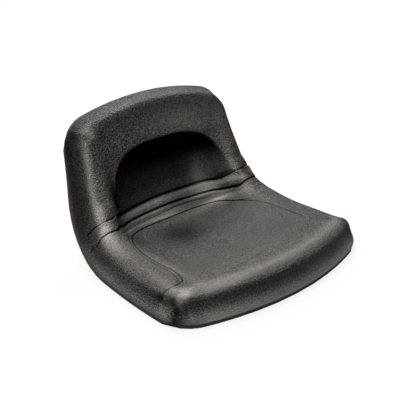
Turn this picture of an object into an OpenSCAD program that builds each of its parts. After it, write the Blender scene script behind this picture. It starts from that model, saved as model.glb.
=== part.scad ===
// Low-back bucket seat of a ride-on garden machine. A moulded vinyl cover is drawn over
// one foam cushion, and its hem is clamped round the turned-down lip of a pressed steel
// pan. The pan is one sheet bent from the level base up through the heel to the back.
// Every shape is laid out on that bent sheet: x across the seat, s along the sheet from
// the front corners over the base and heel to the top, and n square to the sheet.

/* [Base] */
// Overall width across the front corners
seat_w = 501; // [460:1:540]
// Level length of the base, from the front corners to the start of the heel
base_len = 233; // [220:1:275]
// How far the middle of the front edge bows ahead of its corners
front_bow = 53; // [40:1:68]
// Corner radius at the front, seen from above
front_r = 49; // [42:1:62]
// Height of the cushion over the middle of the seat
seat_t = 60; // [52:1:72]

/* [Back] */
// Overall width of the back near its top
back_w = 408; // [390:1:450]
// Radius of the bend between the base and the back
heel_r = 142; // [120:1:165]
// Straight length of the back above the heel, on the middle line
back_len = 177; // [150:1:215]
// Lean of the back from the vertical
back_lean = 8; // [4:1:14]
// How far the middle of the top edge rises above its corners
top_bow = 35; // [20:1:40]
// Corner radius at the top of the back
top_r = 51; // [46:1:70]
// Depth of the rim over the top of the back
rim_t = 43.5; // [36:0.5:52]

/* [Bucket] */
// Height of the side wings where they are tallest, in the heel
wing_t = 98; // [88:1:112]
// Height of the front corner rolls
corner_t = 71.5; // [64:0.5:82]
// Width of the flat centre panel between its side seams
panel_w = 346; // [320:1:370]
// Width of the lumbar recess in the back
recess_w = 304; // [260:1:320]
// Height of the lumbar recess above the upper groove
recess_len = 138; // [120:1:155]
// Depth of the recess, from the level of the seat cushion
recess_d = 30; // [20:1:34]
// Depth of the two grooves between seat and back
groove_d = 7; // [4:0.5:9]
// Width of each groove at its mouth
groove_w = 11; // [8:0.5:14]

/* [Cover] */
// Thickness of the vinyl
cover_t = 1.4; // [1:0.1:2]
// Width of the rounded edge, from the widest line in to the crest
crest_in = 37; // [32:1:42]
// Inset of the pan's lip from the widest line
lip_in = 6.5; // [5:0.5:12]
// Height that the hem is turned up inside the lip
hem_up = 4.5; // [3:0.5:4.5]

/* [Pan] */
// Thickness of the steel sheet
sheet_t = 1.2; // [1:0.1:1.6]
// Depth of the two mounting channels under the pan's floor
channel_d = 10; // [10:0.5:14]
// Width of a mounting channel across its flat face
channel_w = 40; // [34:1:46]
// How far up the back the channels run, from the end of the heel
channel_up = 60; // [40:1:70]
// Spacing of the mounting holes across the seat
hole_x = 285.8; // [270:0.1:292]
// Spacing of the mounting holes from front to back
hole_y = 203.2; // [150:0.1:210]
// Distance of the hole pattern's centre behind the front corners
hole_mid = 112; // [108:1:118]

/* [Trim] */
// Thickness of the edge trim's wall
trim_t = 1.6; // [1.2:0.1:2]
// Height of the trim above the level that the seat stands on
trim_gap = 1; // [0.5:0.1:1.5]
// Height of the trim's outer leg
trim_leg = 6.5; // [5:0.5:7.5]

/* [Nuts] */
// Width of a square weld nut across its flats
nut_w = 15; // [13:0.5:18]
// Height of a weld nut above the sheet
nut_h = 7; // [6:0.5:8]
// Radius of the threaded bore
bore_r = 3.4; // [3:0.1:4]
// Radius of the pilot collar that sits in the sheet
pilot_r = 5.5; // [5:0.1:6.5]

/* [Hidden] */

half_front = seat_w / 2;
half_top = back_w / 2;
heel_turn = 90 - back_lean;
heel_len = heel_r * heel_turn * PI / 180;
heel_end = base_len + heel_len;
sheet_top = heel_end + back_len;
taper_from = 60;
taper_to = sheet_top - 50;
arc_in = 1 - sqrt(0.5);
least_r = 12;

// Stations along the sheet, on the middle line of the seat
panel_end = base_len + 0.26 * heel_len;
low_groove = base_len + 0.575 * heel_len;
high_groove = base_len + 0.735 * heel_len;
recess_top = high_groove + recess_len;
groove_half = groove_w / 2;
half_recess = recess_w / 2;

// Grid: the columns across one half lie at shares of the distance to the bucket's edge,
// and the last few lead on from that edge to the crest
bucket_cols = [0, 0.26, 0.5, 0.72, 0.9, 1];
edge_col = len(bucket_cols) - 1;
wing_cols = 3;
half_cols = edge_col + wing_cols;
cols = 2 * half_cols;
edge_share = 0.83;
// Rows in each stretch from the front to the top: a groove takes two rows, one down to
// its bottom and one up again, and the recess ends in one steep row
stretch_rows = [7, 2, 1, 1, 2, 1, 1, 5, 1, 3];
rows = total(stretch_rows);
low_row = total([for (k = [0 : 2]) stretch_rows[k]]);
high_row = total([for (k = [0 : 5]) stretch_rows[k]]);
recess_row = rows - stretch_rows[9];
ring_n = 2 * (cols + rows);

// Levels over the sheet of the parts that meet at the lip
floor_top = channel_d + sheet_t;
bend_r = 1.8;
bend_in = bend_r - sheet_t / 2;
lip_top = floor_top - bend_r;
lip_low = trim_gap + trim_t + cover_t;
hem_low = lip_low - cover_t;
hem_top = lip_low + hem_up;
hem_out = lip_in - cover_t;
lip_back = lip_in + sheet_t;
hem_back = lip_back + cover_t;

function total(v, i = 0) = i < len(v) ? v[i] + total(v, i + 1) : 0;
function ease(t) = let (c = max(0, min(1, t))) c * c * (3 - 2 * c);
function mix(a, b, t) = a + (b - a) * t;
function unit(v) = v / norm(v);
function flat(lists) = [for (l = lists, p = l) p];

// Smooth curve through [place, value] pairs, which never overshoots between them
function secant(k, i) = (k[i + 1][1] - k[i][1]) / (k[i + 1][0] - k[i][0]);
function slope(k, i) =
    i == 0 ? secant(k, 0)
    : i == len(k) - 1 ? secant(k, i - 1)
    : let (a = secant(k, i - 1), b = secant(k, i)) a * b <= 0 ? 0 : 2 * a * b / (a + b);
function curve(k, s) =
    let (last = len(k) - 1, c = max(k[0][0], min(k[last][0], s)),
         i = max([for (j = [0 : last - 1]) if (c >= k[j][0]) j]),
         w = k[i + 1][0] - k[i][0], t = (c - k[i][0]) / w, r = 1 - t)
    k[i][1] * (1 + 2 * t) * r * r + k[i + 1][1] * t * t * (3 - 2 * t)
    + slope(k, i) * w * t * r * r - slope(k, i + 1) * w * t * t * r;

// A point of the bent sheet: x across, s along it, n square to it
function place(x, s, n) =
    let (turn = max(0, min(heel_turn, (s - base_len) / heel_r * 180 / PI)),
         up = max(0, s - heel_end),
         y = s < base_len ? s : base_len + heel_r * sin(turn) + up * cos(heel_turn),
         z = s < base_len ? 0 : heel_r * (1 - cos(turn)) + up * sin(heel_turn))
    [x, y - n * sin(turn) - hole_mid, z + n * cos(turn)];

// Outline of the sheet inset by d from its widest line: front edge, top edge and side
function half_w(s) = mix(half_front, half_top, ease((s - taper_from) / (taper_to - taper_from)));
function inset_r(r, d) = max(r - d, least_r);
function corner_cut(r, q) = r - sqrt(max(0, r * r - q * q));
function front_half(d) = half_front - d - inset_r(front_r, d) * arc_in;
function front_edge(x, d) =
    let (r = inset_r(front_r, d), q = max(0, abs(x) - (half_front - d - r)))
    d - front_bow * (1 - pow(x / half_front, 2)) + corner_cut(r, q);
function top_half(d) = half_top - d - inset_r(top_r, d) * arc_in;
function top_edge(x, d) =
    let (r = inset_r(top_r, d), q = max(0, abs(x) - (half_top - d - r)))
    sheet_top - d - top_bow * pow(x / half_top, 2) - corner_cut(r, q);
function side_x(s, d) =
    let (rf = inset_r(front_r, d), rt = inset_r(top_r, d),
         qf = max(0, front_edge(front_half(d), d) + rf * sqrt(0.5) - s),
         qt = max(0, s - top_edge(top_half(d), d) + rt * sqrt(0.5)))
    half_w(s) - d - corner_cut(rf, qf) - corner_cut(rt, qt);

// Lines across the cushion: how far each one comes forward at a share of the half width
panel_drop = [[0, 0], [0.35, 3], [0.5, 12], [0.7, 30], [1, 52]];
low_drop = [[0, 0], [0.36, 7], [0.6, 13], [0.74, 17], [0.83, 30], [0.9, 46], [1, 56]];
high_drop = [[0, 0], [0.36, 5], [0.5, 9], [0.74, 11], [0.83, 15], [0.93, 27], [1, 36]];
function panel_line(u) = panel_end - curve(panel_drop, abs(u));
function low_line(u) = low_groove - curve(low_drop, abs(u));
function high_line(u) = high_groove - curve(high_drop, abs(u));

// The recess is square with very round corners: its corner lies at this share of its half
// width and of its height. Beyond the corner the line runs on over the wing.
round_power = 3;
corner_share = pow(0.5, 1 / round_power);
recess_foot = 0.9;
function rounded(t) = pow(1 - pow(min(1, t), round_power), 1 / round_power);
function recess_line(u, size = 1) =
    let (v = min(1, abs(u) / edge_share) * corner_share, beyond = max(0, abs(u) - edge_share))
    high_groove + size * recess_len * (rounded(v) - beyond);

// Stations of all grid rows for a share u of the half width, on the outline inset by d
function guides(u, d) = [
    front_edge(u * front_half(d), d), panel_line(u),
    low_line(u) - groove_half, low_line(u), low_line(u) + groove_half,
    high_line(u) - groove_half, high_line(u), high_line(u) + groove_half,
    recess_line(u, recess_foot), recess_line(u), top_edge(u * top_half(d), d)];
function stations(u, d) =
    let (g = guides(u, d))
    concat([g[0]], [for (k = [0 : len(stretch_rows) - 1], j = [1 : stretch_rows[k]])
        mix(g[k], g[k + 1], j / stretch_rows[k])]);
function column(h, edge, end) =
    h <= edge_col ? bucket_cols[h] * edge : mix(edge, end, (h - edge_col) / wing_cols);
function share(i) = sign(i - half_cols) * column(abs(i - half_cols), edge_share, 1);
function row_half(j, s, d) = j == 0 ? front_half(d) : j == rows ? top_half(d) : side_x(s, d);

// Half width of the bucket's edge at station s: the panel's side, then the recess's side
function bucket_edge(s) =
    s < high_groove ? curve(edge_x, s)
    : half_recess * max(corner_share, rounded((s - high_groove) / recess_len));

// Grid points [x, s] inside the outline inset by d, row by row
function grid_xs(d) =
    let (side = stations(1, d), on_edge = stations(edge_share, d),
         across = [for (i = [0 : cols]) stations(share(i), d)])
    [for (j = [0 : rows])
        let (end = row_half(j, side[j], d), edge = min(bucket_edge(on_edge[j]), edge_share * end))
        [for (i = [0 : cols])
            [sign(i - half_cols) * column(abs(i - half_cols), edge, end), across[i][j]]]];

// The edge of a grid, taken round from its front left corner
function edge_i(k) = k <= cols ? k : k <= cols + rows ? cols : max(0, 2 * cols + rows - k);
function edge_j(k) = k <= cols ? 0 : k <= cols + rows ? k - cols : min(rows, ring_n - k);
function edge_of(grid) = [for (k = [0 : ring_n - 1]) grid[edge_j(k)][edge_i(k)]];

// The outline inset by d: only the edge of that grid is worked out
function outline(d) =
    let (side = stations(1, d))
    [for (k = [0 : ring_n - 1])
        let (j = edge_j(k), u = share(edge_i(k)),
             s = j == 0 ? front_edge(u * front_half(d), d)
                 : j == rows ? top_edge(u * top_half(d), d) : side[j])
        [u * row_half(j, side[j], d), s]];
function loop(d, n) = [for (p = outline(d)) place(p[0], p[1], n)];

// Heights of the cushion: along its middle, and along the crest of wings and rim
mid_height = [
    [-front_bow, seat_t], [-20, seat_t + 1], [60, seat_t - 1], [150, seat_t - 3],
    [base_len - 14, seat_t - 1], [panel_end - 16, seat_t + 4], [panel_end, seat_t + 2],
    [panel_end + 22, seat_t - 3], [low_groove - 17, seat_t - 10],
    [low_groove, seat_t - 16], [low_groove + 16, seat_t - 13], [high_groove, seat_t - 17],
    [high_groove + 21, seat_t - recess_d + 4], [heel_end, seat_t - recess_d],
    [heel_end + 32, seat_t - recess_d - 2], [recess_top - 20, seat_t - recess_d - 3],
    [recess_top, seat_t - recess_d - 2], [sheet_top, rim_t]];
crest_height = [
    [-front_bow, corner_t], [-8, corner_t], [41, seat_t - 5], [63, seat_t - 6],
    [149, seat_t - 7], [base_len - 25, seat_t + 2], [base_len + 34, wing_t - 25],
    [base_len + 73, wing_t - 15], [base_len + 112, wing_t - 4], [heel_end - 49, wing_t],
    [heel_end - 6, wing_t - 14], [heel_end + 49, wing_t - 37], [heel_end + 108, rim_t + 2],
    [sheet_top - 17, rim_t], [sheet_top + 20, rim_t - 5]];

// Edge of the bucket that the grid follows, and the foot and shoulder of the slope from
// the panel up to the wings
edge_x = [
    [0, panel_w / 2], [140, panel_w / 2 - 4], [base_len - 31, panel_w / 2 - 9],
    [base_len + 12, panel_w / 2 - 20], [panel_end, half_recess + 2], [high_groove, half_recess]];
foot_x = [
    [60, panel_w / 2], [140, panel_w / 2 - 4], [base_len - 31, panel_w / 2 - 7],
    [base_len + 2, panel_w / 2 - 19], [panel_end - 24, panel_w / 2 - 34],
    [high_groove, half_recess * recess_foot]];
shoulder_x = [
    [60, half_front - crest_in], [base_len - 20, half_front - crest_in - 18],
    [base_len + 41, half_recess + 28], [base_len + 81, half_recess + 16],
    [high_groove, half_recess]];

// How much a point belongs to the bucket: 1 on the panel, 0 on the wings and the rim
recess_soft = 1 - pow(recess_foot, round_power) - 0.02;
function in_bucket(x, s) =
    s < high_groove
    ? let (a = curve(foot_x, s), b = curve(shoulder_x, s)) 1 - ease((abs(x) - a) / (b - a))
    : ease((1 - pow(abs(x) / half_recess, round_power)
        - pow((s - high_groove) / recess_len, round_power)) / recess_soft);
function row_cut(j) = j == low_row || j == high_row ? groove_d : 0;
function cushion_n(p, j) =
    mix(curve(crest_height, p[1]), curve(mid_height, p[1]), in_bucket(p[0], p[1])) - row_cut(j);

// Section of the cushion's edge, as shares of the crest's inset and height
edge_section = [
    [0.676, 0.975], [0.405, 0.91], [0.19, 0.8], [0.054, 0.65], [0, 0.45], [0.04, 0.25]];
wall_foot = lip_top + 4;

// The outer face of the cover: a grid over the top, then rings down to the hem
top_xs = grid_xs(crest_in);
skin_grid = [for (j = [0 : rows]) [for (p = top_xs[j]) place(p[0], p[1], cushion_n(p, j))]];
crest_xs = edge_of(top_xs);
crest_n = [for (k = [0 : ring_n - 1]) cushion_n(crest_xs[k], edge_j(k))];
skin_rings = [for (e = edge_section)
    let (o = outline(crest_in * e[0]))
    [for (k = [0 : ring_n - 1]) place(o[k][0], o[k][1], max(wall_foot, crest_n[k] * e[1]))]];
wall_end = loop(hem_out, lip_top);

// The inner face of the cover, which is also the outer face of the foam: the outer face
// moved inwards by the thickness of the vinyl
function ring_at(ring, k) = ring[(k + ring_n) % ring_n];
function grid_at(i, j, k) =
    i < 0 || i > cols || j < 0 || j > rows ? skin_rings[0][k] : skin_grid[j][i];
function ring_k(i, j) = j == 0 ? i : i == cols ? cols + j : j == rows ? 2 * cols + rows - i : ring_n - j;
function moved_in(p, along, across) = p - cover_t * unit(cross(along, across));
foam_grid = [for (j = [0 : rows]) [for (i = [0 : cols])
    let (k = ring_k(i, j) % ring_n)
    moved_in(skin_grid[j][i], grid_at(i + 1, j, k) - grid_at(i - 1, j, k),
        grid_at(i, j + 1, k) - grid_at(i, j - 1, k))]];
all_rings = concat([edge_of(skin_grid)], skin_rings, [wall_end]);
foam_rings = [for (r = [1 : len(skin_rings)]) [for (k = [0 : ring_n - 1])
    moved_in(all_rings[r][k], ring_at(all_rings[r], k + 1) - ring_at(all_rings[r], k - 1),
        all_rings[r - 1][k] - all_rings[r + 1][k])]];

// The pan's floor: straight rows, and columns at the edges of the two channels
channel_x = hole_x / 2;
channel_run = 9;
channel_front = hole_mid - hole_y / 2 - nut_w - 3;
channel_end = heel_end + channel_up;
base_rows = stretch_rows[0] - 1;
channel_in = channel_x - channel_w / 2;
channel_out = channel_x + channel_w / 2;
pan_columns = [0, (channel_in - channel_run) / 3, (channel_in - channel_run) / 1.5,
    channel_in - channel_run, channel_in, channel_out, channel_out + channel_run];
function pan_station(j, side_s) =
    j == 1 ? channel_front - channel_run
    : j <= base_rows ? mix(channel_front, base_len, (j - 2) / (base_rows - 2))
    : j == recess_row ? channel_end
    : j == recess_row + 1 ? channel_end + channel_run : side_s;
function in_channel(i, j) =
    let (h = abs(i - half_cols)) (h == 4 || h == 5) && j >= 2 && j <= recess_row;
function pan_grid(d, n, depth) =
    let (o = outline(d), side = stations(1, d))
    [for (j = [0 : rows]) [for (i = [0 : cols])
        let (k = ring_k(i, j) % ring_n, h = abs(i - half_cols), s = pan_station(j, side[j]))
        i == 0 || i == cols || j == 0 || j == rows ? place(o[k][0], o[k][1], n)
        : let (edge = row_half(j, side[j], d),
               x = h < half_cols - 1 ? pan_columns[h] : mix(pan_columns[h - 1], edge, 0.5))
            place(sign(i - half_cols) * x, h < half_cols - 1 ? s : mix(s, side[j], 0.5),
                n - (in_channel(i, j) ? depth : 0))]];

// Two triangles of a four-sided cell, the same way round on both halves of the seat
function cell(a, b, c, d, left) = left ? [[a, c, b], [a, d, c]] : [[a, d, b], [b, d, c]];
function grid_faces(from, up) =
    [for (j = [0 : rows - 1], i = [0 : cols - 1])
        let (a = from + j * (cols + 1) + i, b = a + 1, c = b + cols + 1, d = a + cols + 1)
        each [for (f = cell(a, b, c, d, i < half_cols)) up ? f : [f[0], f[2], f[1]]]];
function on_left(k) = k < half_cols || k >= cols + rows + half_cols;
function band_faces(low, high) =
    [for (k = [0 : ring_n - 1])
        let (m = (k + 1) % ring_n) each cell(low[k], low[m], high[m], high[k], on_left(k))];

// A closed solid from a top grid, the rings that lead down and round, and a bottom grid
module pressed(top, rings, bottom) {
    grid_n = (rows + 1) * (cols + 1);
    edge_ids = [for (k = [0 : ring_n - 1]) edge_j(k) * (cols + 1) + edge_i(k)];
    low_from = grid_n + len(rings) * ring_n;
    ids = concat([edge_ids],
        [for (r = [0 : len(rings) - 1]) [for (k = [0 : ring_n - 1]) grid_n + r * ring_n + k]],
        [[for (e = edge_ids) low_from + e]]);
    polyhedron(concat(flat(top), flat(rings), flat(bottom)),
        concat(grid_faces(0, true), grid_faces(low_from, false),
            [for (r = [1 : len(ids) - 1]) each band_faces(ids[r], ids[r - 1])]));
}

// A closed strip that runs round the outline, from its section's points [inset, level]
module edge_strip(section) {
    count = len(section);
    polyhedron(flat([for (p = section) loop(p[0], p[1])]),
        [for (r = [0 : count - 1])
            each band_faces([for (k = [0 : ring_n - 1]) r * ring_n + k],
                [for (k = [0 : ring_n - 1]) ((r + 1) % count) * ring_n + k])]);
}

// Moulded vinyl skin, with its hem turned under the lip and up behind it
module cover() {
    color([0.11, 0.11, 0.105])
        pressed(skin_grid,
            concat(skin_rings, [wall_end, loop(hem_out, hem_low), loop(hem_back, hem_low),
                loop(hem_back, hem_top), loop(lip_back, hem_top), loop(lip_back, lip_low),
                loop(lip_in, lip_low), loop(lip_in, lip_top)],
                [for (r = [len(foam_rings) - 1 : -1 : 0]) foam_rings[r]]),
            foam_grid);
}

// One moulded foam bun, which fills the cover and lies on the pan's floor
module foam_cushion() {
    color([0.86, 0.8, 0.62])
        pressed(foam_grid, concat(foam_rings, [loop(lip_in, lip_top)]),
            pan_grid(lip_in + bend_r, floor_top, 0));
}

// Pressed steel pan with two mounting channels and a lip turned down all round
module seat_pan() {
    color([0.16, 0.16, 0.17])
        difference() {
            pressed(pan_grid(lip_in + bend_r, floor_top, channel_d),
                [loop(lip_in, lip_top), loop(lip_in, lip_low), loop(lip_back, lip_low),
                    loop(lip_back, channel_d - bend_in)],
                pan_grid(lip_back + bend_in, channel_d, channel_d));
            at_holes() cylinder(h = 3 * sheet_t, r = pilot_r, center = true, $fn = 48);
        }
}

// Flexible channel pushed over the lip, which clamps the hem to it
module edge_trim() {
    trim_top = trim_gap + trim_leg;
    color([0.07, 0.07, 0.07])
        edge_strip([[hem_out - trim_t, trim_gap], [hem_out - trim_t, trim_top],
            [hem_out, trim_top], [hem_out, hem_low], [hem_back, hem_low], [hem_back, hem_top],
            [hem_back + trim_t, hem_top], [hem_back + trim_t, trim_gap]]);
}

// Square weld nuts on the channels, each with a pilot collar set in the sheet
module mounting_nuts() {
    color([0.62, 0.62, 0.6])
        at_holes() difference() {
            union() {
                translate([-nut_w / 2, -nut_w / 2, sheet_t]) cube([nut_w, nut_w, nut_h]);
                cylinder(h = sheet_t + nut_h / 2, r = pilot_r, $fn = 48);
            }
            translate([0, 0, -1]) cylinder(h = sheet_t + nut_h + 2, r = bore_r, $fn = 48);
        }
}

module at_holes() {
    for (x = [-1, 1], y = [-1, 1]) translate([x * hole_x / 2, y * hole_y / 2, 0]) children();
}

cover();
foam_cushion();
seat_pan();
edge_trim();
mounting_nuts();
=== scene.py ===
# %% [markdown]
# # A moulded bucket seat, step by step
#
# This lesson dresses a low-back bucket seat of a ride-on garden machine. The real seat is a foam
# bun in a moulded vinyl skin, drawn over a pressed steel pan and clamped at its hem by a plastic
# trim. The construction model already says where every piece is, so it is loaded first, as a
# fixed frame. It could be traced again by hand, but then the looks and the construction would
# drift apart.

import bpy
import numpy as np
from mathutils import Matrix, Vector


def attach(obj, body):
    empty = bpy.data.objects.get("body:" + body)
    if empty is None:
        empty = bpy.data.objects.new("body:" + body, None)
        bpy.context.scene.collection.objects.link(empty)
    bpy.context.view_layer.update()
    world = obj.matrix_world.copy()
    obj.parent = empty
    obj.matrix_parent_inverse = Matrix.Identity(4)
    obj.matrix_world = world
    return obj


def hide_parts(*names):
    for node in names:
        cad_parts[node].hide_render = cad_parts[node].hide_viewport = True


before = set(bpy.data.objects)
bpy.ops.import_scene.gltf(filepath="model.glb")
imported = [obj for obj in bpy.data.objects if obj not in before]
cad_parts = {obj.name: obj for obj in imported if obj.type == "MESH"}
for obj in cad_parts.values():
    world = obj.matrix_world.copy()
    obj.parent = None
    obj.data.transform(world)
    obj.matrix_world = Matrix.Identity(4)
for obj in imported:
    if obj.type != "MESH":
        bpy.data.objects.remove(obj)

bpy.ops.object.select_all(action="DESELECT")
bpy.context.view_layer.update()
print("nodes:", sorted(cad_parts))

# %% [markdown]
# ## A seat is a bent sheet
#
# The pan under the seat is one steel sheet: a level base, a round heel and a straight back. The
# cushion follows that sheet everywhere. So each point of the seat is easiest to name by three
# distances: `x` across the seat, `s` along the sheet from the front corners, and `n` square to
# the sheet. Modelling in these measures and bending the result last keeps every line true. The
# other way, pushing points about in a bent shape, would make the seams wander.

# %% Sizes of the sheet, in millimetres
MM = 0.001
SEAT_W = 501
BASE_LEN = 233
FRONT_BOW = 53
FRONT_R = 49
BACK_W = 408
HEEL_R = 142
BACK_LEN = 177
BACK_LEAN = 8
TOP_BOW = 35
TOP_R = 51
HOLE_MID = 112
LEAST_R = 12

HEEL_TURN = np.radians(90 - BACK_LEAN)
HEEL_END = BASE_LEN + HEEL_R * HEEL_TURN
SHEET_TOP = HEEL_END + BACK_LEN
PANEL_END = BASE_LEN + 0.26 * (HEEL_END - BASE_LEN)
LOW_GROOVE = BASE_LEN + 0.575 * (HEEL_END - BASE_LEN)
HIGH_GROOVE = BASE_LEN + 0.735 * (HEEL_END - BASE_LEN)
print("the sheet is", round(SHEET_TOP + FRONT_BOW), "mm long from front to top")


# %% Bend the sheet
def place(x, s, n):
    """Points in metres for arrays of places on the sheet in millimetres."""
    turn = np.clip((s - BASE_LEN) / HEEL_R, 0, HEEL_TURN)
    up = np.maximum(0, s - HEEL_END)
    y = np.minimum(s, BASE_LEN) + HEEL_R * np.sin(turn) + up * np.cos(HEEL_TURN)
    z = HEEL_R * (1 - np.cos(turn)) + up * np.sin(HEEL_TURN)
    return MM * np.stack([x, y - n * np.sin(turn) - HOLE_MID, z + n * np.cos(turn)], -1)


# %% [markdown]
# ## Smooth curves from a few knots
#
# A pattern maker draws a seat with a few templates and fairs them with a batten. `curve` is that
# batten: it runs through a short list of knots and never overshoots between them, so a crest
# given by five heights stays as smooth as the real mould.

# %% Curves and easing
def ease(t):
    c = np.clip(t, 0, 1)
    return c * c * (3 - 2 * c)


def mix(a, b, t):
    return a + (b - a) * t


def curve(knots, at):
    """Smooth curve through [place, value] knots, flat beyond its ends."""
    x, y = np.array(knots, float).T
    rise = np.diff(y) / np.diff(x)
    a, b = rise[:-1], rise[1:]
    inner = np.where(a * b > 0, 2 * a * b / np.where(a + b == 0, 1, a + b), 0)
    slope = np.concatenate([rise[:1], inner, rise[-1:]])
    c = np.clip(at, x[0], x[-1])
    i = np.clip(np.searchsorted(x, c, side="right") - 1, 0, len(x) - 2)
    width = x[i + 1] - x[i]
    t = (c - x[i]) / width
    r = 1 - t
    ends = y[i] * (1 + 2 * t) * r * r + y[i + 1] * t * t * (3 - 2 * t)
    return ends + width * t * r * (slope[i] * r - slope[i + 1] * t)


def fair(knots, at, reach):
    """A curve drawn softer: the average of the curve over a reach on both sides."""
    return sum(curve(knots, at + reach * t) for t in (-1, -0.6, -0.2, 0.2, 0.6, 1)) / 6


print("halfway up a test curve:", float(curve([[0, 0], [1, 1]], 0.5)))

# %% [markdown]
# ## The outline
#
# Seen flat, the seat has a bowed front with round corners, sides that draw in towards the top,
# and a bowed top. Each line below takes an inset `d`, so that the crest, the wall and the hem
# can be rings of one outline, one inside the other.

# %% Outline of the sheet at an inset
HALF_FRONT = SEAT_W / 2
HALF_TOP = BACK_W / 2
ARC_IN = 1 - np.sqrt(0.5)


def corner_r(r, d):
    return max(r - d, LEAST_R)


def corner_cut(r, q):
    return r - np.sqrt(np.maximum(0, r * r - q * q))


def half_width(s):
    return mix(HALF_FRONT, HALF_TOP, ease((s - 60) / (SHEET_TOP - 50 - 60)))


def front_half(d):
    return HALF_FRONT - d - corner_r(FRONT_R, d) * ARC_IN


def top_half(d):
    return HALF_TOP - d - corner_r(TOP_R, d) * ARC_IN


def front_edge(x, d):
    r = corner_r(FRONT_R, d)
    past = np.maximum(0, np.abs(x) - (HALF_FRONT - d - r))
    return d - FRONT_BOW * (1 - (x / HALF_FRONT) ** 2) + corner_cut(r, past)


def top_edge(x, d):
    r = corner_r(TOP_R, d)
    past = np.maximum(0, np.abs(x) - (HALF_TOP - d - r))
    return SHEET_TOP - d - TOP_BOW * (x / HALF_TOP) ** 2 - corner_cut(r, past)


def side_x(s, d):
    front, top = corner_r(FRONT_R, d), corner_r(TOP_R, d)
    low = np.maximum(0, front_edge(front_half(d), d) + front * np.sqrt(0.5) - s)
    high = np.maximum(0, s - top_edge(top_half(d), d) + top * np.sqrt(0.5))
    return half_width(s) - d - corner_cut(front, low) - corner_cut(top, high)


# %% [markdown]
# ## Heights of the cushion
#
# Two templates give the heights: one along the middle of the seat and one along the crest of the
# wings and rim. Between them a mask says how much a point belongs to the bucket. The lumbar
# recess is the part of the bucket above the upper groove, square with very round corners.

# %% Height templates
SEAT_T = 60
WING_T = 96
CORNER_T = 67
RIM_T = 46.5
CREST_IN = 37
RECESS_HALF = 152
RECESS_LEN = 138
RECESS_N = 30
RECESS_WALL = 0.43
PANEL_HALF = 173

MID_HEIGHT = [
    [-FRONT_BOW, SEAT_T - 2], [-20, SEAT_T - 1], [20, SEAT_T], [60, SEAT_T - 1],
    [150, SEAT_T - 3], [219, SEAT_T - 1], [PANEL_END - 16, SEAT_T + 3], [PANEL_END, SEAT_T + 1],
    [PANEL_END + 22, SEAT_T - 6], [LOW_GROOVE - 17, SEAT_T - 13], [LOW_GROOVE, SEAT_T - 19],
    [LOW_GROOVE + 16, SEAT_T - 21], [HIGH_GROOVE, SEAT_T - 20], [HIGH_GROOVE + 21, RECESS_N + 4],
    [HEEL_END, RECESS_N], [HEEL_END + 32, RECESS_N - 2],
    [HIGH_GROOVE + RECESS_LEN - 20, RECESS_N - 3], [HIGH_GROOVE + RECESS_LEN, RECESS_N - 2],
    [SHEET_TOP, RIM_T]]
CREST_HEIGHT = [
    [-FRONT_BOW, CORNER_T], [-8, CORNER_T], [41, SEAT_T - 6], [63, SEAT_T - 7],
    [149, SEAT_T - 5.5], [208, SEAT_T + 4], [BASE_LEN + 21, WING_T - 20],
    [BASE_LEN + 73, WING_T - 13], [BASE_LEN + 112, WING_T - 5], [HEEL_END - 51, WING_T],
    [HEEL_END - 26, WING_T - 0.5], [HEEL_END - 4, WING_T - 4], [HEEL_END + 25, WING_T - 14],
    [HEEL_END + 45, WING_T - 23], [HEEL_END + 66, WING_T - 31], [HEEL_END + 89, WING_T - 39],
    [HEEL_END + 108, RIM_T + 4], [SHEET_TOP - 40, RIM_T + 1], [SHEET_TOP - 17, RIM_T],
    [SHEET_TOP + 20, RIM_T - 5]]
LEAN = [[230, 0], [300, 3], [345, 6], [390, 9], [440, 8.5], [485, 4.5], [525, 1], [560, 0]]
FOOT_X = [
    [60, PANEL_HALF], [140, PANEL_HALF - 4], [202, PANEL_HALF - 7], [235, PANEL_HALF - 19],
    [PANEL_END - 24, PANEL_HALF - 34], [HIGH_GROOVE, RECESS_HALF * 0.83]]
SHOULDER_X = [
    [60, HALF_FRONT - CREST_IN], [213, HALF_FRONT - CREST_IN - 14],
    [BASE_LEN + 41, RECESS_HALF + 34], [BASE_LEN + 81, RECESS_HALF + 26],
    [BASE_LEN + 120, RECESS_HALF + 12], [HIGH_GROOVE, RECESS_HALF]]


def steep(t):
    """From 0 to 1, steep just inside a short round edge, then easing out."""
    c = np.clip(t, 0, 1)
    return ease(c / 0.1) * (1 - (1 - c) ** 2.5)


def crest_n(x, s):
    """Height of wing and rim: fair along the crest, leaning in towards the bucket."""
    inside = np.clip((half_width(s) - CREST_IN + 8 - np.abs(x)) / 42, 0, 1)
    return fair(CREST_HEIGHT, s, 20) - curve(LEAN, s) * inside ** 1.5


def in_bucket(x, s):
    foot, shoulder = curve(FOOT_X, s), curve(SHOULDER_X, s)
    away = np.abs(x)
    part = (shoulder - away) / (shoulder - foot)
    low = mix(ease(part), steep(part), ease((s - 300) / 82))
    out = (away / RECESS_HALF) ** 3 + (np.maximum(0, s - HIGH_GROOVE) / RECESS_LEN) ** 3
    return np.where(s < HIGH_GROOVE, low, steep((1 - out) / RECESS_WALL))


# %% [markdown]
# ## The lines across the seat
#
# Two deep grooves part the seat from the back, and fine moulded seams frame the flat panel. Each
# line is a few knots of `x` and `s`. The skin was pulled over by hand, so the left and right
# halves of a line differ a little, and each has its own knots. Beyond the crest, `x` runs on
# down the side wall, as it would if the skin were laid flat.

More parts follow.
